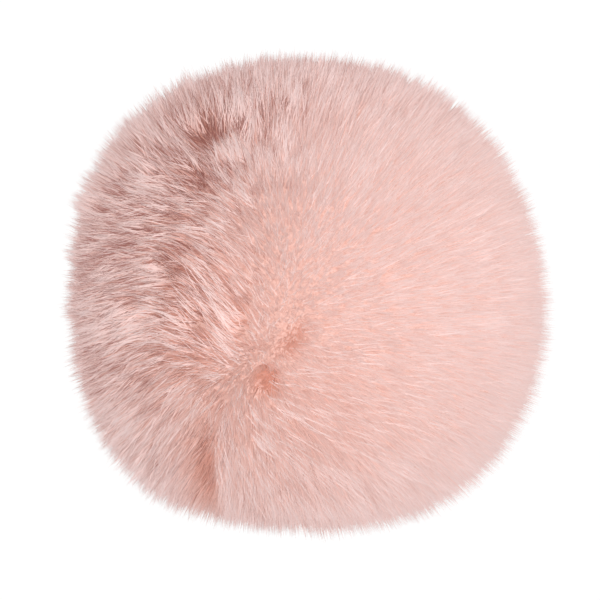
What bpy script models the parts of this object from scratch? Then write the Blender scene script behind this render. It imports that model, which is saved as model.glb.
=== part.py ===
"""A round faux-fur pom pom, 110 mm across, resting on a table.

A stuffed ball is the backing, and a thick pile stands all over it. The pile is built as 300
tapered locks, each rooted in the ball and apart from its neighbours. They are combed away from
one whorl, which looks up and a little to the front left, and they are shorter underneath, where
they end level on the table. Metres, +Z up, with the origin on the table under the ball.
"""

import math
import random
from collections import namedtuple

import bmesh
import bpy
import numpy as np
from mathutils import Matrix, Vector

MM = 0.001

# The ball.
REACH = 54.6 * MM  # ball's centre to the tip of an average lock
BACKING_RADIUS = 38.0 * MM
BACKING_SUBDIVISIONS = 2
FLAT_SPOT_RADIUS = 23.0 * MM  # the level patch that it rests on
CENTRE_HEIGHT = math.sqrt(REACH**2 - FLAT_SPOT_RADIUS**2)
CENTRE = Vector((0.0, 0.0, CENTRE_HEIGHT))

# The locks.
LOCK_COUNT = 300
ROOT_DEPTH = 5.0 * MM  # how deep a root sits in the backing
LENGTH_SPREAD = 1.0 * MM  # locks are longer or shorter than the average by up to this
TIP_SHIFT = 1.0 * MM  # and lean to one side by up to this
CLEARANCE = 0.3 * MM  # left between neighbouring locks
Station = namedtuple("Station", "along radius")
STATIONS = (
    Station(along=0.00, radius=2.2 * MM),
    Station(along=0.36, radius=3.9 * MM),
    Station(along=0.78, radius=5.6 * MM),
    Station(along=1.00, radius=1.1 * MM),
)
LARGEST_RADIUS = max(station.radius for station in STATIONS)
CLEARANCE_TESTS = 13  # places along each lock where its room is worked out

# A lock that reaches the table comes straight down on it for its last few millimetres.
FOOT_HEIGHT = 4.5 * MM
ANKLE_RADIUS = 3.9 * MM
FOOT_RADIUS = 2.6 * MM
LOWEST_FREE_TIP = 3.0 * MM  # a tip that would hang lower than this stands on the table
ANKLE_BEND = 0.45  # how far along the way to its ankle such a lock has its second station

# The combing: tips are carried away from the whorl, most at COMB_PEAK from it. In degrees.
Direction = namedtuple("Direction", "azimuth elevation")
WHORL = Direction(azimuth=-114.0, elevation=66.5)
COMB_LEAN = 14.0
COMB_PEAK = 48.0
COMB_END = 165.0
COMB_POWER = 1.5  # a lock leaves the backing straight and then bends

# Broad swells (+) and hollows (-) of the trimmed pile, in degrees round the ball.
Swell = namedtuple("Swell", "azimuth elevation spread lift")
SWELLS = (
    Swell(azimuth=130.0, elevation=8.0, spread=24.0, lift=2.4 * MM),
    Swell(azimuth=221.0, elevation=5.0, spread=24.0, lift=1.6 * MM),
    Swell(azimuth=318.0, elevation=5.0, spread=28.0, lift=1.8 * MM),
    Swell(azimuth=50.0, elevation=0.0, spread=26.0, lift=0.8 * MM),
    Swell(azimuth=8.0, elevation=0.0, spread=18.0, lift=-1.2 * MM),
    Swell(azimuth=88.0, elevation=0.0, spread=20.0, lift=-1.0 * MM),
    Swell(azimuth=175.0, elevation=0.0, spread=20.0, lift=-1.6 * MM),
    Swell(azimuth=267.0, elevation=0.0, spread=20.0, lift=-2.4 * MM),
    Swell(azimuth=128.0, elevation=42.0, spread=11.0, lift=-3.4 * MM),
    Swell(azimuth=170.0, elevation=58.0, spread=12.0, lift=-1.6 * MM),
    Swell(azimuth=WHORL.azimuth, elevation=WHORL.elevation, spread=9.0, lift=-3.0 * MM),
)

PINK_FUR = (0.86, 0.56, 0.51, 1.0)
FUR_ROUGHNESS = 0.85

# Evening out of the directions over the sphere.
PUSHES = 60
PUSH_STRENGTH = 0.15

SAME_POINT = 0.001 * MM


def unit(direction):
    """The unit vector towards an azimuth and elevation, in degrees."""
    turn, rise = math.radians(direction.azimuth), math.radians(direction.elevation)
    return Vector((math.cos(turn) * math.cos(rise), math.sin(turn) * math.cos(rise), math.sin(rise)))


def clear_scene():
    for obj in list(bpy.data.objects):
        bpy.data.objects.remove(obj)


def fur_material():
    material = bpy.data.materials.new("pink_fur")
    material.use_nodes = True
    shader = material.node_tree.nodes["Principled BSDF"]
    shader.inputs["Base Color"].default_value = PINK_FUR
    shader.inputs["Roughness"].default_value = FUR_ROUGHNESS
    shader.inputs["Metallic"].default_value = 0.0
    material.diffuse_color = PINK_FUR
    return material


def spread_directions(count):
    """Unit vectors spread evenly over a sphere, of which the first points straight down."""
    golden_angle = math.pi * (3.0 - math.sqrt(5.0))
    index = np.arange(count)
    height = (2.0 * index + 1.0) / count - 1.0
    height[0] = -1.0
    ring = np.sqrt(1.0 - height**2)
    turn = golden_angle * index
    points = np.stack([ring * np.cos(turn), ring * np.sin(turn), height], axis=1)
    spacing = math.sqrt(4.0 * math.pi / count)
    for _ in range(PUSHES):  # each point is pushed away from its neighbours
        apart = points[:, None] - points[None]
        distance = np.linalg.norm(apart, axis=2)
        np.fill_diagonal(distance, np.inf)
        push = (apart / distance[..., None] ** 4).sum(axis=1)
        push[0] = 0.0
        points += PUSH_STRENGTH * spacing**4 * push
        points /= np.linalg.norm(points, axis=1, keepdims=True)
    return [Vector(point) for point in points]


def reach_towards(direction):
    """The distance from the ball's centre to the tips in this direction."""
    lift = 0.0
    for swell in SWELLS:
        away = math.degrees(direction.angle(unit(swell)))
        lift += swell.lift * math.exp(-0.5 * (away / swell.spread) ** 2)
    return REACH + lift


def comb_lean(away):
    """The degrees that a tip is carried, by its angle from the whorl: none there, a peak, then none."""
    if away < COMB_PEAK:
        share = math.sin(0.5 * math.pi * away / COMB_PEAK)
    else:
        share = math.cos(0.5 * math.pi * min(1.0, (away - COMB_PEAK) / (COMB_END - COMB_PEAK)))
    return COMB_LEAN * share


def lock_points(tip, chance):
    """The line down the middle of the lock whose tip is in this direction, from its root outwards."""
    whorl = unit(WHORL)
    axis = whorl.cross(tip)
    lean = math.radians(comb_lean(math.degrees(whorl.angle(tip))))
    sideways = tip.orthogonal().normalized()
    sideways.rotate(Matrix.Rotation(chance.uniform(0.0, 2.0 * math.pi), 3, tip))
    shift = chance.uniform(0.0, TIP_SHIFT) * sideways
    start = BACKING_RADIUS - ROOT_DEPTH
    reach = reach_towards(tip) + chance.uniform(-LENGTH_SPREAD, LENGTH_SPREAD)
    points = []
    for station in STATIONS:
        turn_back = lean * (station.along**COMB_POWER - 1.0)
        towards = Matrix.Rotation(turn_back, 3, axis) @ tip
        radius = start + (reach - start) * station.along
        points.append(CENTRE + towards * radius + shift * station.along**2)
    return points


def stood_on_table(points):
    """The same line, ended upright on the table."""
    root, tip = points[0], points[-1]
    foot = root.lerp(tip, root.z / (root.z - tip.z))
    foot.z = 0.0
    ankle = Vector((foot.x, foot.y, FOOT_HEIGHT))
    return [root, root.lerp(ankle, ANKLE_BEND), ankle, foot]


def lock_lines():
    """Every lock as its points and the radii at them, before its room is known."""
    chance = random.Random(11)
    lines = []
    for number, tip in enumerate(spread_directions(LOCK_COUNT)):
        points = lock_points(tip, chance)
        radii = [station.radius for station in STATIONS]
        if number == 0:  # the lock straight under the ball stands on the origin
            points[-1] = Vector((0.0, 0.0, points[-1].z))
        if points[-1].z < LOWEST_FREE_TIP:
            points = stood_on_table(points)
            radii[-2:] = [ANKLE_RADIUS, FOOT_RADIUS]
        lines.append((points, radii))
    return lines


def shares_of_width(lines):
    """For each lock, the share of its radii that keeps it clear of every other lock."""
    stops = np.arange(len(STATIONS))
    tests = np.linspace(0.0, stops[-1], CLEARANCE_TESTS)
    places = []
    widths = []
    for points, radii in lines:
        table = np.array(points)
        places.append(np.stack([np.interp(tests, stops, table[:, axis]) for axis in range(3)], axis=1))
        widths.append(np.interp(tests, stops, radii))
    places, widths = np.array(places), np.array(widths)
    shares = []
    for number in range(len(lines)):
        room = np.linalg.norm(places[number][:, None, None] - places[None], axis=3) - CLEARANCE
        share = room / (widths[number][:, None, None] + widths[None])
        share[:, number] = 1.0  # against itself
        shares.append(min(1.0, float(share.min())))
    return shares


def add_lock(curve, points, radii, tilt):
    spline = curve.splines.new("POLY")
    spline.points.add(len(points) - 1)
    for point, place, radius in zip(spline.points, points, radii):
        point.co = (*place, 1.0)
        point.radius = radius / LARGEST_RADIUS
        point.tilt = tilt


def lock_curve(collection):
    """All the locks, as one curve object with four-sided bevels."""
    chance = random.Random(12)
    curve = bpy.data.curves.new("locks", "CURVE")
    curve.dimensions = "3D"
    curve.bevel_depth = LARGEST_RADIUS
    curve.bevel_resolution = 0
    curve.use_fill_caps = True
    lines = lock_lines()
    for (points, radii), share in zip(lines, shares_of_width(lines)):
        fitted = [radius * share for radius in radii]
        add_lock(curve, points, fitted, chance.uniform(0.0, 0.5 * math.pi))
    obj = bpy.data.objects.new("locks", curve)
    collection.objects.link(obj)
    return obj


def as_closed_mesh(curve_object, name, collection):
    """The curve as a mesh object with its caps welded on. The curve is removed."""
    bpy.context.view_layer.update()
    graph = bpy.context.evaluated_depsgraph_get()
    mesh = bpy.data.meshes.new_from_object(curve_object.evaluated_get(graph))
    mesh.name = name
    shape = bmesh.new()
    shape.from_mesh(mesh)
    bmesh.ops.remove_doubles(shape, verts=shape.verts, dist=SAME_POINT)
    bmesh.ops.recalc_face_normals(shape, faces=shape.faces)
    for vertex in shape.verts:
        if abs(vertex.co.z) < SAME_POINT:  # feet stand exactly on the table
            vertex.co.z = 0.0
    shape.to_mesh(mesh)
    shape.free()
    obj = bpy.data.objects.new(name, mesh)
    obj.matrix_world = curve_object.matrix_world
    collection.objects.link(obj)
    bpy.data.objects.remove(curve_object)
    return obj


def backing_ball(name, collection):
    bpy.ops.mesh.primitive_ico_sphere_add(
        subdivisions=BACKING_SUBDIVISIONS, radius=BACKING_RADIUS, location=CENTRE
    )
    ball = bpy.context.object
    ball.name = name
    for other in ball.users_collection:
        other.objects.unlink(ball)
    collection.objects.link(ball)
    return ball


def new_collection(name):
    collection = bpy.data.collections.new(name)
    bpy.context.scene.collection.children.link(collection)
    return collection


def main():
    clear_scene()
    helpers = new_collection("helpers")
    locks = as_closed_mesh(lock_curve(helpers), "lock_bodies", helpers)
    locks.hide_render = True
    locks.display_type = "WIRE"
    ball = backing_ball("fur_ball", new_collection("pom_pom"))
    ball.data.materials.append(fur_material())
    grown = ball.modifiers.new("rooted_locks", "BOOLEAN")
    grown.operation = "UNION"
    grown.object = locks


main()
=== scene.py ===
"""The looks of a round faux-fur pom pom: pale pink pile with coral roots, combed by a few strokes.

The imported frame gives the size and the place. The pile is about a quarter of a million three-sided
hairs, each tapered to a point and gathered into tufts of three sizes. They stand on a coral
undercoat. Metres, +Z up, with the ball resting on the floor at the origin.
"""

import math
from collections import namedtuple

import bpy
import numpy as np
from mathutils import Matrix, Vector
from mathutils.kdtree import KDTree


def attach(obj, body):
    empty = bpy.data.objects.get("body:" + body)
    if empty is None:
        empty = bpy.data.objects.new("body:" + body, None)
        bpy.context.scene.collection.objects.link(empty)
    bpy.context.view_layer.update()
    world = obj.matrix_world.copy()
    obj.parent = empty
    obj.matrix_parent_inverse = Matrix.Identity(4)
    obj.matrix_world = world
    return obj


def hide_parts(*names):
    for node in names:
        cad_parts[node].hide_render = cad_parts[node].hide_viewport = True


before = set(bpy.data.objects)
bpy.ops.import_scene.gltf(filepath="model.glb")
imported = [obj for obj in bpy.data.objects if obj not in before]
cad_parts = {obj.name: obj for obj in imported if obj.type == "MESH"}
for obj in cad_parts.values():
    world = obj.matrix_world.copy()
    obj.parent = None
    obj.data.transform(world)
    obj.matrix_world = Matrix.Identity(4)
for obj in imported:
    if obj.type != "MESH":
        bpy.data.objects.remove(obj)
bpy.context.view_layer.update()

MM = 0.001
PILE_SEED = 7
UNDERCOAT_SEED = 3

# ---------------------------------------------------------------- the ball's shape

REACH = 55.0 * MM  # ball's centre to the tips of the pile
CAD_REACH = 54.6 * MM  # the same in the CAD model, which gives the height of the centre
FLAT_SPOT_RADIUS = 23.0 * MM
CENTRE_HEIGHT = math.sqrt(CAD_REACH**2 - FLAT_SPOT_RADIUS**2)
CENTRE = np.array([0.0, 0.0, CENTRE_HEIGHT])

# What hangs lower than the soft height is pressed flat above the floor, and spreads outwards by a
# share of how far it is below that height.
FLOOR_GAP = 0.15 * MM
SOFT_HEIGHT = 2.5 * MM
SPLAY = 0.35
TINY = 1e-6  # keeps a length that is divided by from being zero

# A place on the ball is an azimuth and an elevation from its centre, in degrees. What lies round
# such a place fades out like a bell curve, over a spread in degrees.
Direction = namedtuple("Direction", "azimuth elevation")
PIT = Direction(azimuth=-114.0, elevation=66.5)

# Broad swells (+) and hollows (-) of the trimmed pile.
Swell = namedtuple("Swell", "azimuth elevation spread lift")
SWELLS = (
    Swell(azimuth=140.0, elevation=8.0, spread=24.0, lift=3.0 * MM),
    Swell(azimuth=228.0, elevation=5.0, spread=21.0, lift=4.0 * MM),
    Swell(azimuth=312.0, elevation=5.0, spread=24.0, lift=3.6 * MM),
    Swell(azimuth=50.0, elevation=0.0, spread=26.0, lift=1.2 * MM),
    Swell(azimuth=20.0, elevation=0.0, spread=14.0, lift=-1.2 * MM),
    Swell(azimuth=88.0, elevation=0.0, spread=20.0, lift=-1.8 * MM),
    Swell(azimuth=175.0, elevation=0.0, spread=20.0, lift=-1.6 * MM),
    Swell(azimuth=267.0, elevation=0.0, spread=20.0, lift=-1.7 * MM),
    Swell(azimuth=128.0, elevation=42.0, spread=11.0, lift=-3.4 * MM),
    Swell(azimuth=170.0, elevation=58.0, spread=12.0, lift=-1.6 * MM),
    Swell(azimuth=PIT.azimuth, elevation=PIT.elevation, spread=9.0, lift=-1.5 * MM),
)

# Smaller waves are the sum of some cosines, whose frequencies differ by these factors.
WAVE_COUNT = 7
WAVE_FACTORS = (0.6, 1.3)
PILE_WAVE_HEIGHT = 0.5 * MM
PILE_WAVE_LENGTH = 14.0 * MM
UNDERCOAT_WAVE_HEIGHT = 0.6 * MM
UNDERCOAT_WAVE_LENGTH = 6.0 * MM

UNDERCOAT_SUBDIVISIONS = 6
UNDERCOAT_SHARE = 0.905  # of the distance to the tips of the pile
UNDERCOAT_SINKING = 1.3  # how much deeper it is parted than the pile

# Where the pile is parted, as arcs seen from straight above, in millimetres. Hairs are pushed off
# to both sides, and those within the narrower trough are sunk. A negative depth is a ridge.
Parting = namedtuple("Parting", "start end width push depth")
PARTINGS = (
    Parting(start=(-26.0, 43.0), end=(-22.0, 35.5), width=3.2, push=2.2, depth=3.0),
    Parting(start=(-25.5, 33.0), end=(-29.0, 26.0), width=2.6, push=1.6, depth=1.8),
    Parting(start=(-38.0, 33.5), end=(-36.5, 32.0), width=1.8, push=1.0, depth=1.6),
    Parting(start=(-17.0, 42.0), end=(-14.0, 37.0), width=1.6, push=1.0, depth=1.5),
    Parting(start=(-37.0, 6.0), end=(-31.0, 3.0), width=3.0, push=1.2, depth=2.0),
    Parting(start=(-29.0, -4.0), end=(-28.0, -5.0), width=2.2, push=1.0, depth=2.2),
    Parting(start=(-23.0, -31.0), end=(-22.0, -50.0), width=3.8, push=0.5, depth=2.8),
    Parting(start=(-9.4, -18.5), end=(-10.0, -24.5), width=2.3, push=0.9, depth=4.6),
    Parting(start=(-6.0, -15.0), end=(-0.5, -6.5), width=2.4, push=1.0, depth=1.9),
    Parting(start=(-17.0, -1.0), end=(-17.0, -9.0), width=2.2, push=0.8, depth=1.5),
    Parting(start=(-19.0, 34.0), end=(-13.0, 41.0), width=2.6, push=0.0, depth=-1.3),
    Parting(start=(-40.0, 30.0), end=(-37.0, 28.5), width=2.2, push=0.0, depth=-1.0),
    Parting(start=(-16.0, -33.0), end=(-15.0, -46.0), width=2.6, push=0.0, depth=-1.2),
)
TROUGH_WIDTH = 0.7  # compared with the parting's
PARTING_END_POWER = 3.0  # how sharply a parting ends

# ---------------------------------------------------------------- how the pile lies

# It is combed away from the crown, then by each stroke towards its right and up. The places are as
# seen from straight above, in millimetres.
CROWN = (-27.4, -15.9)
COMBING = 0.35
Stroke = namedtuple("Stroke", "x y spread right up")
STROKES = (
    Stroke(x=-33.7, y=-0.1, spread=25.0, right=-0.43, up=-0.55),
    Stroke(x=-9.0, y=-29.0, spread=28.0, right=0.28, up=0.20),
    Stroke(x=-26.0, y=-1.8, spread=12.0, right=-0.21, up=1.00),
)
STEEPEST = 0.55  # the least cosine of a hair's tilt from straight out
PARTED_DEPTH = 1.5 * MM  # hairs of a parting this deep stand up by the share below
PARTED_STANDING = 0.8

# Where the pile is ruffled, not sleek, and how much painted shade darkens it there: mostly on the
# side turned away from the key light, and in the gaps between its tufts.
Ruffle = namedtuple("Ruffle", "azimuth elevation spread share darkness")
RUFFLES = (
    Ruffle(azimuth=123.0, elevation=35.0, spread=13.0, share=0.85, darkness=0.90),
    Ruffle(azimuth=106.0, elevation=24.0, spread=10.0, share=0.60, darkness=1.00),
    Ruffle(azimuth=168.0, elevation=34.0, spread=21.0, share=0.75, darkness=0.90),
    Ruffle(azimuth=151.0, elevation=32.0, spread=12.0, share=0.60, darkness=1.00),
    Ruffle(azimuth=176.0, elevation=55.0, spread=11.0, share=0.28, darkness=1.00),
    Ruffle(azimuth=187.0, elevation=14.0, spread=18.0, share=0.72, darkness=1.00),
    Ruffle(azimuth=230.0, elevation=18.0, spread=27.0, share=0.42, darkness=0.10),
    Ruffle(azimuth=95.0, elevation=-12.0, spread=26.0, share=0.70, darkness=0.85),
    Ruffle(azimuth=183.0, elevation=6.0, spread=15.0, share=0.50, darkness=1.00),
)
RUFFLE_ELSEWHERE = 0.05
CALM = 0.95 * RUFFLE_ELSEWHERE  # pile this calm would have no guard hairs and no mottle
MOST_PAINTED_SHADE = 1.25  # where ruffles overlap

# ---------------------------------------------------------------- the hairs

# Three kinds. Base hairs make the body of the pile, thin fringe hairs stand among them and soften
# its edge, and guard hairs are bent over and lie across it where it is ruffled. The rise is how far
# their tips are above the surface, give or take the spread. The other three are for ruffled pile:
# how far painted shade shifts the shade darker, how much the shade varies, and how much more coral
# shows.
BASE, FRINGE, GUARD = 0, 1, 2
Kind = namedtuple("Kind", "name pieces hairs width rise spread paleness mottle deep_tone")
KINDS = (
    Kind(
        name="base", pieces=3, hairs=125000, width=0.66 * MM, rise=-2.3 * MM, spread=1.2 * MM,
        paleness=-0.74, mottle=0.22, deep_tone=0.60,
    ),
    Kind(
        name="fringe", pieces=2, hairs=115000, width=0.24 * MM, rise=-0.9 * MM, spread=2.8 * MM,
        paleness=-0.50, mottle=0.66, deep_tone=0.20,
    ),
    Kind(
        name="guard", pieces=2, hairs=23000, width=0.24 * MM, rise=-0.2 * MM, spread=1.0 * MM,
        paleness=-0.04, mottle=0.03, deep_tone=0.0,
    ),
)
SIDES = 3
THICKNESSES = (0.7, 1.3)  # the least and the most, compared with the kind's width
ROOT_RADIUS = 0.84 * REACH  # where straight hairs start, within the undercoat

# A guard hair's stretches from its root to its tip: how long each is, how far it stands up
# compared with the hairs round it, how much it gathers, and how wide it is at its start.
Stretch = namedtuple("Stretch", "length rise gather width")
GUARD_STRETCHES = (
    Stretch(length=7.0 * MM, rise=1.0, gather=0.0, width=0.8),
    Stretch(length=6.5 * MM, rise=0.42, gather=0.4, width=1.0),
)

# Tufts are spread evenly, then jittered by a share of their spacing.
LARGE_TUFTS = 420
MEDIUM_TUFTS = 3000
SMALL_TUFTS = 45000
JITTER = 0.30
SMALL_JITTER = 0.35
SMALL_TUFT_RADIUS = 0.85  # in spacings
GUARD_PREFERENCE = 0.5  # how much more guard hairs there are in the longer medium tufts

# How far a tuft draws its hairs together, from 0 to 1: from least to most, and more if ruffled.
Gather = namedtuple("Gather", "least most more")
SMALL_GATHER = Gather(least=0.1, most=0.35, more=0.25)
MEDIUM_GATHER = Gather(least=0.0, most=0.15, more=0.25)
LARGE_GATHER = Gather(least=0.0, most=0.10, more=0.0)

# Other amounts that grow with the ruffling: what there is without it, and what it adds.
Amount = namedtuple("Amount", "sleek more")
STRAYING = Amount(sleek=0.25, more=0.35)  # of small tufts to any side, in millimetres
UNEVENNESS = Amount(sleek=0.25, more=0.25)  # of the lengths of small tufts, in millimetres
MEDIUM_UNEVENNESS = Amount(sleek=0.15, more=0.45)
TURNING = Amount(sleek=0.03, more=0.05)  # of small tufts, in radians
HAIR_TURNING = 0.04
# Painted shade among tufts: shorter small and medium tufts are darker and longer ones paler, as if
# the short ones lay in shade among the long.
LENGTH_PAINTED_SHADE = Amount(sleek=0.01, more=0.17)  # of small tufts that are longer
MEDIUM_LENGTH_PAINTED_SHADE = Amount(sleek=0.01, more=0.20)
# Painted shade: hairs sunk in a parting are darkened, more so where the pile is ruffled.
SUNK_PAINTED_SHADE = Amount(sleek=0.01, more=0.19)  # for each millimetre that a hair is sunk
SUNK_PAINTED_SHADE_POWER = 1.5  # of the ruffling

# Shade goes from 0, coral darkened by painted shade, to 1, pale. Bloom is how far a hair goes
# through its colours.
USUAL_SHADE = 0.88
LEAST_MOTTLE = 0.02
SHADES = (0.02, 0.98)
LOW_PAINTED_LIGHT = 0.12  # painted light: how much paler sleek pile is made low round the ball, as if lit round its rim
LOW_SPREAD = 20.0  # degrees above and below the ball's middle
SUNK_BLOOM = 0.95  # lost by hairs that are sunk by the depth below
SUNK_BLOOM_DEPTH = 3.0 * MM
RUFFLED_BLOOM = 0.7  # the share of that loss which ruffled pile is spared
LEAST_BLOOM = 0.1

# Places where the hairs of sleek pile go less far through their colours, so that more of their coral
# shows.
Blush = namedtuple("Blush", "azimuth elevation spread share")
BLUSHES = (
    Blush(azimuth=183.0, elevation=62.0, spread=14.0, share=0.34),
    Blush(azimuth=262.0, elevation=57.0, spread=21.0, share=0.28),
    Blush(azimuth=200.0, elevation=54.0, spread=9.0, share=0.24),
)

# Real hairs let most of the light through, so only some of these cast shadows: a share of the base
# hairs, which grows with a power of the ruffling, and the guard hairs where it is ruffled enough.
SHADOWING_SHARE = 0.10
SHADOWING_POWER = 1.5
GUARDS_SHADOW = 0.50

SMOOTHING = 0.78  # how far hairs are shaded as the ball's surface where the pile is sleek
ROUGHENING = 0.45  # how much less where it is ruffled

# ---------------------------------------------------------------- colours, camera, light

# The map's U is a hair's shade, and its V how far through its colours each point of the hair is.
UV_MAP = "OFBake"
UV_HALF_WIDTH = 0.004  # of a hair, so that its faces aren't flat in the map
UV_MARGIN = 0.02
BENT_PALING = 2  # how soon bent hairs turn pale after their root

# Coral darkened by painted shade, for hairs in the shade of ruffled or parted pile; the lit coral of
# the roots starts the pale colours.
SHADED_CORAL_STOPS = (
    (0.0, (0.34, 0.11, 0.08)),
    (0.7, (0.43, 0.16, 0.13)),
    (1.0, (0.52, 0.25, 0.22)),
)
PALE_STOPS = (
    (0.0, (0.85, 0.33, 0.23)),
    (0.5, (0.91, 0.53, 0.46)),
    (1.0, (0.905, 0.715, 0.70)),
)
HAIR_ROUGHNESS = 0.45
HAIR_SPECULAR = 0.40

UNDERCOAT_STOPS = (
    (0.35, (0.62, 0.32, 0.26)),
    (0.65, (0.74, 0.44, 0.38)),
)
UNDERCOAT_GRAIN = 1800.0
UNDERCOAT_GRAIN_DETAIL = 4.0
UNDERCOAT_ROUGHNESS = 0.9

# The floor shines white by itself and reflects next to nothing, so no shadow falls on it.
FLOOR_SIZE = 30.0
FLOOR_GLOW = 1.0
FLOOR_COLOR = (0.02, 0.02, 0.02, 1.0)
FLOOR_ROUGHNESS = 0.9
WHITE = (1.0, 1.0, 1.0, 1.0)
WORLD_STRENGTH = 1.235

KEY = Direction(azimuth=-4.0, elevation=50.0)
KEY_DISTANCE = 1.2
KEY_SIZE = 1.2
KEY_POWER = 4.6

CAMERA_HEIGHT = 1.0  # above the ball's centre, looking straight down
CAMERA_LENS = 263.0
CAMERA_SENSOR = 36.0
CAMERA_SIGHT = 50.0  # how far it sees
CAMERA_OFFSET = (-1.6 * MM, -1.4 * MM)  # the photo's ball isn't quite in the middle


# ---------------------------------------------------------------- directions

def unit(place):
    """The unit vector towards anything that has an azimuth and an elevation."""
    turn, rise = math.radians(place.azimuth), math.radians(place.elevation)
    level = math.cos(rise)
    return np.array([math.cos(turn) * level, math.sin(turn) * level, math.sin(rise)])


def normalized(vectors):
    return vectors / np.linalg.norm(vectors, axis=-1, keepdims=True)


def from_above(x_mm, y_mm):
    """The direction of the point of the ball that is seen there from straight above."""
    x, y = x_mm * MM / REACH, y_mm * MM / REACH
    return np.array([x, y, math.sqrt(max(0.0, 1.0 - x * x - y * y))])


def bell(degrees, spread):
    """A bell curve: 1 at 0 degrees, and near 0 well beyond the spread."""
    return np.exp(-0.5 * (degrees / spread) ** 2)


def nearness(directions, centre, spread):
    """From 1 for directions at the centre to 0 for those far beyond the spread."""
    degrees = np.degrees(np.arccos(np.clip(directions @ centre, -1.0, 1.0)))
    return bell(degrees, spread)


def even_spacing(count):
    """The distance between neighbours of that many points on a unit sphere."""
    return math.sqrt(4.0 * math.pi / count)


def spread_directions(count, rng, jitter):
    """Unit vectors spread evenly over a sphere, then jittered by a share of their spacing."""
    golden_angle = math.pi * (3.0 - math.sqrt(5.0))
    index = np.arange(count) + 0.5
    height = 1.0 - 2.0 * index / count
    ring = np.sqrt(1.0 - height**2)
    turn = golden_angle * index
    points = np.stack([ring * np.cos(turn), ring * np.sin(turn), height], axis=1)
    return normalized(points + rng.normal(0.0, jitter * even_spacing(count), points.shape))


def nearest(points, centres):
    """For each point, the number of the centre that is nearest."""
    tree = KDTree(len(centres))
    for index, centre in enumerate(centres):
        tree.insert(Vector(centre), index)
    tree.balance()
    return np.array([tree.find(Vector(point))[1] for point in points])


# ---------------------------------------------------------------- the shape and lie of the pile

def reach_towards(directions):
    """The distance from the ball's centre to the tips of the pile in each direction."""
    reach = np.full(len(directions), REACH)
    for swell in SWELLS:
        reach += swell.lift * nearness(directions, unit(swell), swell.spread)
    return reach


def waves(directions, length, rng):
    """Smooth noise over the ball, mostly from -1 to 1, with waves of about that length."""
    total = np.zeros(len(directions))
    for _ in range(WAVE_COUNT):
        way = rng.normal(size=3)
        way *= 2.0 * math.pi * REACH / length / np.linalg.norm(way) * rng.uniform(*WAVE_FACTORS)
        total += np.cos(directions @ way + rng.uniform(0.0, 2.0 * math.pi))
    return total / math.sqrt(0.5 * WAVE_COUNT) / 2.0


def part_the_pile(tips):
    """The tips moved off each parting, and how far each is sunk in one."""
    sunk = np.zeros(len(tips))
    for parting in PARTINGS:
        start, end = from_above(*parting.start), from_above(*parting.end)
        pole = np.cross(start, end)
        length = np.linalg.norm(pole)
        pole /= length
        middle = normalized(start + end)
        reached = max(0.5 * length, parting.width * MM / REACH)
        across = (tips @ pole) * REACH / (parting.width * MM)
        along = (tips @ np.cross(pole, middle)) / reached
        window = np.exp(-np.abs(along) ** PARTING_END_POWER) * (tips @ middle > 0.0)
        push = parting.push * MM / REACH * across * np.exp(0.5 - 0.5 * across**2) * window
        sunk += parting.depth * MM * np.exp(-0.5 * (across / TROUGH_WIDTH) ** 2) * window
        tips = normalized(tips + push[:, None] * pole)
    return tips, sunk


def combed_ways(places):
    """Which way the hairs that end in these directions point."""
    ways = places + COMBING * (places - from_above(*CROWN))
    for stroke in STROKES:
        share = nearness(places, from_above(stroke.x, stroke.y), stroke.spread)
        ways = ways + share[:, None] * np.array([stroke.right, stroke.up, 0.0])
    return normalized(ways)


def ruffle(directions):
    """How ruffled the pile is in each direction, from 0 to 1, and how much painted shade darkens it.
    """
    rough = np.full(len(directions), RUFFLE_ELSEWHERE)
    dark = rough.copy()
    for spot in RUFFLES:
        here = spot.share * nearness(directions, unit(spot), spot.spread)
        rough += here
        dark += spot.darkness * here
    return np.minimum(rough, 1.0), np.minimum(dark, MOST_PAINTED_SHADE)


def blush(directions):
    """How much bloom the pile loses in each direction."""
    total = np.zeros(len(directions))
    for spot in BLUSHES:
        total += spot.share * nearness(directions, unit(spot), spot.spread)
    return total


def settled(points):
    """The points with what hangs low pressed flat above the floor and outwards."""
    below = np.maximum(0.0, SOFT_HEIGHT - points[..., 2])
    pressed = SOFT_HEIGHT * np.exp(-below / SOFT_HEIGHT)
    points[..., 2] = np.where(below > 0.0, pressed, points[..., 2]) + FLOOR_GAP
    level = points[..., :2]
    outwards = level / (np.linalg.norm(level, axis=-1, keepdims=True) + TINY)
    points[..., :2] += SPLAY * below[..., None] * outwards
    return points


# ---------------------------------------------------------------- tufts and their hairs

# The places of all tufts. Each medium tuft is in a large one and each small tuft in a medium one,
# given by their numbers. Lengths are in standard deviations. The rest is for the small tufts.
Tufts = namedtuple(
    "Tufts",
    "large medium small of_medium of_small medium_rough medium_length length rough dark unrest",
)

# Each hair's kind, its small and its medium tuft, and how ruffled the pile is there.
Members = namedtuple("Members", "kind tuft medium rough")

# Each hair's kind, its place in uncombed pile, the direction and distance of its tip from the
# ball's centre, the way that it points, its colour, and how ruffled the pile is there.
Pile = namedtuple("Pile", "kind free tips reach ways shade bloom rough")


def amount_at(amount, rough):
    return amount.sleek + amount.more * rough


def gathering(gather, rough, rng):
    """How far each tuft draws its hairs together, from 0 to 1."""
    return rng.uniform(gather.least, gather.most, len(rough)) + gather.more * rough


def make_tufts(rng):
    large = spread_directions(LARGE_TUFTS, rng, JITTER)
    medium = spread_directions(MEDIUM_TUFTS, rng, JITTER)
    small = spread_directions(SMALL_TUFTS, rng, SMALL_JITTER)
    # painted shade: how much darker the pile is painted where it is ruffled
    rough, dark = ruffle(small)
    return Tufts(
        large=large,
        medium=medium,
        small=small,
        of_medium=nearest(medium, large),
        of_small=nearest(small, medium),
        length=rng.normal(size=SMALL_TUFTS),
        medium_length=rng.normal(size=MEDIUM_TUFTS),
        medium_rough=ruffle(medium)[0],
        rough=rough,
        dark=dark,
        unrest=np.sqrt(rough - CALM),
    )


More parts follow.
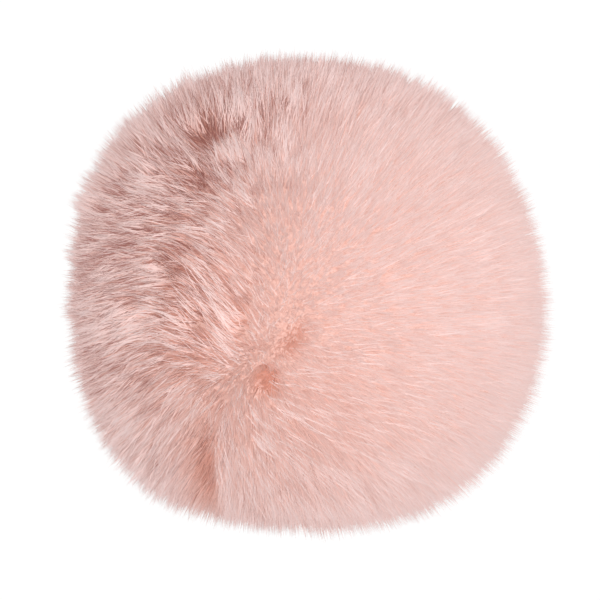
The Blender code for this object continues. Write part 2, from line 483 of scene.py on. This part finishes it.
def shared_out(tufts, rng):
    """The hairs' tufts: base and fringe hairs are everywhere, guard hairs in ruffled pile."""
    likely = tufts.unrest * np.exp(GUARD_PREFERENCE * tufts.medium_length[tufts.of_small])
    with_guards = rng.choice(SMALL_TUFTS, KINDS[GUARD].hairs, p=likely / likely.sum())
    everywhere = [np.arange(each.hairs) % SMALL_TUFTS for each in KINDS[:GUARD]]
    kind = np.repeat(np.arange(len(KINDS)), [each.hairs for each in KINDS])
    tuft = np.concatenate(everywhere + [with_guards])
    return Members(kind, tuft, tufts.of_small[tuft], tufts.rough[tuft])


def placed(tufts, members, rng):
    """Where hairs would end uncombed, where they end gathered and parted, and how far sunk."""
    tuft, medium = members.tuft, members.medium
    large = tufts.of_medium[medium]
    count = len(tuft)
    offset = normalized(rng.normal(size=(count, 3)))
    distance = SMALL_TUFT_RADIUS * even_spacing(SMALL_TUFTS) * np.cbrt(rng.uniform(size=count))
    free = normalized(tufts.small[tuft] + offset * distance[:, None])

    small_gather = gathering(SMALL_GATHER, tufts.rough, rng)[tuft][:, None]
    medium_gather = gathering(MEDIUM_GATHER, tufts.medium_rough, rng)[medium][:, None]
    large_gather = gathering(LARGE_GATHER, ruffle(tufts.large)[0], rng)[large][:, None]
    astray = rng.normal(size=(SMALL_TUFTS, 3))
    astray *= (amount_at(STRAYING, tufts.rough) * MM / REACH)[:, None]
    tips = free + small_gather * (tufts.small[tuft] - free)
    tips += medium_gather * (tufts.medium[medium] - tufts.small[tuft])
    tips += large_gather * (tufts.large[large] - tufts.medium[medium])
    tips, sunk = part_the_pile(normalized(tips + astray[tuft]))
    return free, tips, sunk


def reaches(tufts, members, tips, sunk, rng):
    """How far each hair's tip is from the ball's centre."""
    kind = members.kind
    reach = reach_towards(tips) - sunk
    reach += PILE_WAVE_HEIGHT * waves(tips, PILE_WAVE_LENGTH, rng)
    medium_unevenness = amount_at(MEDIUM_UNEVENNESS, tufts.medium_rough) * MM
    reach += (medium_unevenness * tufts.medium_length)[members.medium]
    reach += (amount_at(UNEVENNESS, tufts.rough) * MM * tufts.length)[members.tuft]
    reach += np.array([each.rise for each in KINDS])[kind]
    reach += np.array([each.spread for each in KINDS])[kind] * rng.uniform(-1.0, 1.0, len(kind))
    return reach


def hair_ways(tufts, members, free, rng):
    """Which way each hair points: as it is combed, but it stands up in a parting."""
    ways = combed_ways(free)
    upright = np.sum(ways * free, axis=1, keepdims=True) * free
    parted = np.clip(part_the_pile(free)[1] / PARTED_DEPTH, 0.0, 1.0)[:, None]
    ways = upright + (1.0 - PARTED_STANDING * parted) * (ways - upright)
    turning = amount_at(TURNING, tufts.rough)[:, None]
    ways += (turning * rng.normal(size=(SMALL_TUFTS, 3)))[members.tuft]
    return normalized(ways + HAIR_TURNING * rng.normal(size=ways.shape))


def hair_shades(tufts, members, sunk, rng):
    """Each hair's shade, varied at random, with painted shade and painted light: darker in shorter
    tufts and paler in longer ones, darker where the pile is ruffled or sunk, and paler low round
    sleek pile.
    """
    kind, tuft = members.kind, members.tuft
    mottle = LEAST_MOTTLE + np.array([each.mottle for each in KINDS])[kind] * tufts.unrest[tuft]
    shade = USUAL_SHADE + mottle * rng.normal(size=len(kind))
    # Painted shade: where the pile is ruffled, each kind's shade is shifted darker by how much shade
    # is painted there.
    shade += np.array([each.paleness for each in KINDS])[kind] * tufts.dark[tuft]
    # Painted shade: shorter tufts darker, longer ones paler.
    shade += (amount_at(LENGTH_PAINTED_SHADE, tufts.rough) * tufts.length)[tuft]
    medium_painted_shade = amount_at(MEDIUM_LENGTH_PAINTED_SHADE, tufts.medium_rough)
    shade += (medium_painted_shade * tufts.medium_length)[members.medium]
    # Painted shade: hairs sunk in a parting are darkened, more so where the pile is ruffled.
    shade -= amount_at(SUNK_PAINTED_SHADE, members.rough**SUNK_PAINTED_SHADE_POWER) * sunk / MM
    # Painted light: sleek pile low round the ball is made paler, as if lit round its rim.
    low = bell(np.degrees(np.arcsin(tufts.small[:, 2])), LOW_SPREAD)
    shade += (LOW_PAINTED_LIGHT * low * (1.0 - tufts.rough))[tuft]
    return np.clip(shade, *SHADES)


def hair_blooms(tufts, members, sunk, rng):
    """How far each hair goes through its colours, from its coral root on."""
    kind, tuft = members.kind, members.tuft
    sinking = np.clip(sunk / SUNK_BLOOM_DEPTH, 0.0, 1.0)
    bloom = 1.0 - SUNK_BLOOM * sinking * (1.0 - RUFFLED_BLOOM * members.rough)
    deep_tone = np.array([each.deep_tone for each in KINDS])[kind]
    bloom -= deep_tone * (tufts.rough * rng.uniform(size=SMALL_TUFTS))[tuft]
    bloom -= blush(tufts.small)[tuft] * (kind != GUARD)
    return np.maximum(bloom, LEAST_BLOOM)


def grown_pile(rng):
    tufts = make_tufts(rng)
    members = shared_out(tufts, rng)
    free, tips, sunk = placed(tufts, members, rng)
    return Pile(
        kind=members.kind,
        free=free,
        tips=tips,
        reach=reaches(tufts, members, tips, sunk, rng),
        ways=hair_ways(tufts, members, free, rng),
        shade=hair_shades(tufts, members, sunk, rng),
        bloom=hair_blooms(tufts, members, sunk, rng),
        rough=members.rough,
    )


# ---------------------------------------------------------------- meshes of hairs

def straight_lines(pile):
    """The root and tip of each hair, (count, 2, 3)."""
    upright = np.maximum(STEEPEST, np.sum(pile.ways * pile.free, axis=1))
    length = (REACH - ROOT_RADIUS) / upright
    roots = REACH * pile.free - length[:, None] * pile.ways
    return settled(CENTRE + np.stack([roots, pile.tips * pile.reach[:, None]], axis=1))


def guard_lines(pile):
    """The points along each guard hair, (count, 3, 3), from its root to its tip."""
    tips = pile.tips * pile.reach[:, None]
    upright = np.sum(pile.ways * pile.free, axis=1, keepdims=True) * pile.free
    sideways = pile.ways - upright
    place = pile.free * pile.reach[:, None]
    shift = tips - place
    points = [tips]
    for stretch in reversed(GUARD_STRETCHES):
        place = place - stretch.length * normalized(sideways + stretch.rise * upright)
        points.append(place + stretch.gather * shift)
    return settled(CENTRE + np.stack(points[::-1], axis=1))


def hair_faces(rings):
    """The triangles of one hair: those round its tip, then two a side between its rings."""
    tip = SIDES * rings
    faces = [(tip - SIDES + side, tip - SIDES + (side + 1) % SIDES, tip) for side in range(SIDES)]
    for ring in range(rings - 1):
        for side in range(SIDES):
            here, beside = SIDES * ring + side, SIDES * ring + (side + 1) % SIDES
            faces += [(here, beside, beside + SIDES), (here, beside + SIDES, here + SIDES)]
    return faces


def hair_map(lines, pile):
    """Where each vertex is in the UV map."""
    count, points = lines.shape[:2]
    rings = points - 1
    lengths = np.linalg.norm(np.diff(lines, axis=1), axis=2)
    share = np.cumsum(lengths, axis=1) / lengths.sum(axis=1, keepdims=True)
    share = np.concatenate([np.zeros((count, 1)), share], axis=1)
    if rings > 1:
        share = 1.0 - (1.0 - share) ** BENT_PALING
    share *= pile.bloom[:, None]
    share = np.repeat(share, SIDES, axis=1)[:, : SIDES * rings + 1]
    v = UV_MARGIN + (1.0 - 2.0 * UV_MARGIN) * share
    u = pile.shade[:, None] + UV_HALF_WIDTH * np.array([-1.0, 0.0, 1.0] * rings + [0.0])
    return np.stack([u, v], axis=2).reshape(-1, 2)


def triangle_mesh(name, vertices, corners):
    mesh = bpy.data.meshes.new(name)
    mesh.vertices.add(len(vertices))
    mesh.vertices.foreach_set("co", vertices.ravel())
    mesh.loops.add(len(corners))
    mesh.loops.foreach_set("vertex_index", corners)
    mesh.polygons.add(len(corners) // 3)
    mesh.polygons.foreach_set("loop_start", 3 * np.arange(len(corners) // 3))
    return mesh


def hair_mesh(name, lines, widths, pile, rng):
    """Three-sided hairs along the lines, each tapered to a point."""
    count, points = lines.shape[:2]
    rings = points - 1
    stretches = normalized(np.diff(lines, axis=1))
    along = stretches.copy()
    along[:, 1:] = normalized(stretches[:, 1:] + stretches[:, :-1])
    first = normalized(np.cross(along, rng.normal(size=(count, 1, 3))))
    second = np.cross(along, first)
    turns = (2.0 * math.pi * np.arange(SIDES) / SIDES)[:, None]
    spokes = np.cos(turns) * first[:, :, None] + np.sin(turns) * second[:, :, None]
    half = 0.5 * np.array(widths) * rng.uniform(*THICKNESSES, (count, 1))
    sides = lines[:, :-1, None] + half[..., None, None] * spokes
    vertices = np.concatenate([sides.reshape(count, -1, 3), lines[:, -1:]], axis=1)

    per_hair = vertices.shape[1]
    faces = np.array(hair_faces(rings)).ravel()
    corners = (per_hair * np.arange(count)[:, None] + faces).ravel()
    mesh = triangle_mesh(name, vertices.reshape(-1, 3), corners)
    layer = mesh.uv_layers.new(name=UV_MAP)
    layer.uv.foreach_set("vector", hair_map(lines, pile)[corners].ravel())
    mesh.update(calc_edges=True)
    mesh.shade_smooth()

    outward = normalized(vertices - CENTRE)
    own = np.concatenate([spokes.reshape(count, -1, 3), along[:, -1:]], axis=1)
    smoothing = (SMOOTHING - ROUGHENING * pile.rough)[:, None, None]
    normals = normalized(smoothing * outward + (1.0 - smoothing) * own)
    mesh.normals_split_custom_set_from_vertices(normals.reshape(-1, 3))
    return mesh


# ---------------------------------------------------------------- materials

def new_material(name):
    material = bpy.data.materials.new(name)
    material.use_nodes = True
    nodes = material.node_tree.nodes
    return material, nodes, material.node_tree.links, nodes["Principled BSDF"]


def ramp(nodes, stops):
    node = nodes.new("ShaderNodeValToRGB")
    node.color_ramp.interpolation = "LINEAR"
    elements = node.color_ramp.elements
    while len(elements) > 1:
        elements.remove(elements[-1])
    elements[0].position, elements[0].color = stops[0][0], (*stops[0][1], 1.0)
    for position, color in stops[1:]:
        elements.new(position).color = (*color, 1.0)
    return node


def hair_material():
    """From coral darkened by painted shade to pale by the hair's shade, and each of them from its
    root to its tip.
    """
    material, nodes, links, shader = new_material("pink_hair")
    uv = nodes.new("ShaderNodeUVMap")
    uv.uv_map = UV_MAP
    split = nodes.new("ShaderNodeSeparateXYZ")
    links.new(uv.outputs["UV"], split.inputs[0])
    # painted shade: these coral colours are darkened as if in shade
    coral = ramp(nodes, SHADED_CORAL_STOPS)
    pale = ramp(nodes, PALE_STOPS)
    mix = nodes.new("ShaderNodeMix")
    mix.data_type = "RGBA"
    links.new(split.outputs["Y"], coral.inputs[0])
    links.new(split.outputs["Y"], pale.inputs[0])
    links.new(split.outputs["X"], mix.inputs["Factor"])
    links.new(coral.outputs["Color"], mix.inputs["A"])
    links.new(pale.outputs["Color"], mix.inputs["B"])
    links.new(mix.outputs["Result"], shader.inputs["Base Color"])
    shader.inputs["Roughness"].default_value = HAIR_ROUGHNESS
    shader.inputs["Specular IOR Level"].default_value = HAIR_SPECULAR
    return material


def undercoat_material():
    material, nodes, links, shader = new_material("coral_undercoat")
    place = nodes.new("ShaderNodeTexCoord")
    noise = nodes.new("ShaderNodeTexNoise")
    noise.inputs["Scale"].default_value = UNDERCOAT_GRAIN
    noise.inputs["Detail"].default_value = UNDERCOAT_GRAIN_DETAIL
    colors = ramp(nodes, UNDERCOAT_STOPS)
    links.new(place.outputs["Object"], noise.inputs["Vector"])
    links.new(noise.outputs["Fac"], colors.inputs[0])
    links.new(colors.outputs["Color"], shader.inputs["Base Color"])
    shader.inputs["Roughness"].default_value = UNDERCOAT_ROUGHNESS
    return material


def floor_material():
    material, _, _, shader = new_material("white_floor")
    shader.inputs["Base Color"].default_value = FLOOR_COLOR
    shader.inputs["Specular IOR Level"].default_value = 0.0
    shader.inputs["Roughness"].default_value = FLOOR_ROUGHNESS
    shader.inputs["Emission Color"].default_value = WHITE
    shader.inputs["Emission Strength"].default_value = FLOOR_GLOW
    return material


# ---------------------------------------------------------------- pieces

def make_undercoat():
    """The dense short fur under the pile: a lumpy ball, flat where it stands."""
    bpy.ops.mesh.primitive_ico_sphere_add(subdivisions=UNDERCOAT_SUBDIVISIONS, radius=1.0)
    obj = bpy.context.object
    obj.name = "undercoat"
    mesh = obj.data
    places = np.empty(len(mesh.vertices) * 3)
    mesh.vertices.foreach_get("co", places)
    directions = normalized(places.reshape(-1, 3))
    rng = np.random.default_rng(UNDERCOAT_SEED)
    sunk = part_the_pile(directions)[1]
    radius = UNDERCOAT_SHARE * (reach_towards(directions) - UNDERCOAT_SINKING * sunk)
    radius += UNDERCOAT_WAVE_HEIGHT * waves(directions, UNDERCOAT_WAVE_LENGTH, rng)
    points = settled(CENTRE + directions * radius[:, None])
    mesh.vertices.foreach_set("co", points.ravel())
    mesh.shade_smooth()
    mesh.materials.append(undercoat_material())
    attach(obj, "root")
    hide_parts("fur_ball")


def add_hairs(name, kind, hairs, material, rng):
    """One piece of the pile, made of hairs of one kind."""
    width = KINDS[kind].width
    if kind == GUARD:
        widths = [width * stretch.width for stretch in GUARD_STRETCHES]
        mesh = hair_mesh(name, guard_lines(hairs), widths, hairs, rng)
    else:
        mesh = hair_mesh(name, straight_lines(hairs), [width], hairs, rng)
    mesh.materials.append(material)
    obj = bpy.data.objects.new(name, mesh)
    bpy.context.scene.collection.objects.link(obj)
    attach(obj, "root")
    return obj


def make_pile():
    """The pile, in pieces of one kind each, of which some cast shadows."""
    rng = np.random.default_rng(PILE_SEED)
    pile = grown_pile(rng)
    material = hair_material()
    chosen = rng.uniform(size=len(pile.kind)) < SHADOWING_SHARE * pile.rough**SHADOWING_POWER
    shadowing = chosen & (pile.kind == BASE)
    shadowing |= (pile.rough > GUARDS_SHADOW) & (pile.kind == GUARD)
    pieces = []
    for number, kind in enumerate(KINDS):
        order = rng.permutation(np.flatnonzero((pile.kind == number) & ~shadowing))
        for piece, mine in enumerate(np.array_split(order, kind.pieces)):
            pieces.append((f"pile_{kind.name}_{piece + 1}", number, mine))
        if number != FRINGE:
            mine = np.flatnonzero((pile.kind == number) & shadowing)
            pieces.append((f"pile_{kind.name}_shadowing", number, mine))
    for name, kind, mine in pieces:
        obj = add_hairs(name, kind, Pile(*(field[mine] for field in pile)), material, rng)
        obj.visible_shadow = name.endswith("shadowing")
        obj.visible_diffuse = name == "pile_base_shadowing"  # alone passes light on to the rest


# ---------------------------------------------------------------- studio

def make_floor():
    bpy.ops.mesh.primitive_plane_add(size=FLOOR_SIZE, location=(0.0, 0.0, 0.0))
    floor = bpy.context.object
    floor.name = "floor"
    floor.data.materials.append(floor_material())


def make_world():
    world = bpy.data.worlds.new("studio")
    world.use_nodes = True
    background = world.node_tree.nodes["Background"]
    background.inputs["Color"].default_value = WHITE
    background.inputs["Strength"].default_value = WORLD_STRENGTH
    bpy.context.scene.world = world
    bpy.context.scene.view_settings.view_transform = "Standard"


def make_key_light():
    light = bpy.data.lights.new("key", "AREA")
    light.shape = "DISK"
    light.size = KEY_SIZE
    light.energy = KEY_POWER
    obj = bpy.data.objects.new("key", light)
    obj.location = CENTRE + KEY_DISTANCE * unit(KEY)
    towards = Vector(CENTRE) - obj.location
    obj.rotation_euler = towards.to_track_quat("-Z", "Y").to_euler()
    bpy.context.scene.collection.objects.link(obj)


def make_camera():
    camera = bpy.data.cameras.new("camera")
    camera.lens = CAMERA_LENS
    camera.sensor_width = CAMERA_SENSOR
    camera.clip_end = CAMERA_SIGHT
    obj = bpy.data.objects.new("camera", camera)
    obj.location = (*CAMERA_OFFSET, CENTRE_HEIGHT + CAMERA_HEIGHT)
    bpy.context.scene.collection.objects.link(obj)
    bpy.context.scene.camera = obj


make_undercoat()
make_pile()
make_floor()
make_world()
make_key_light()
make_camera()
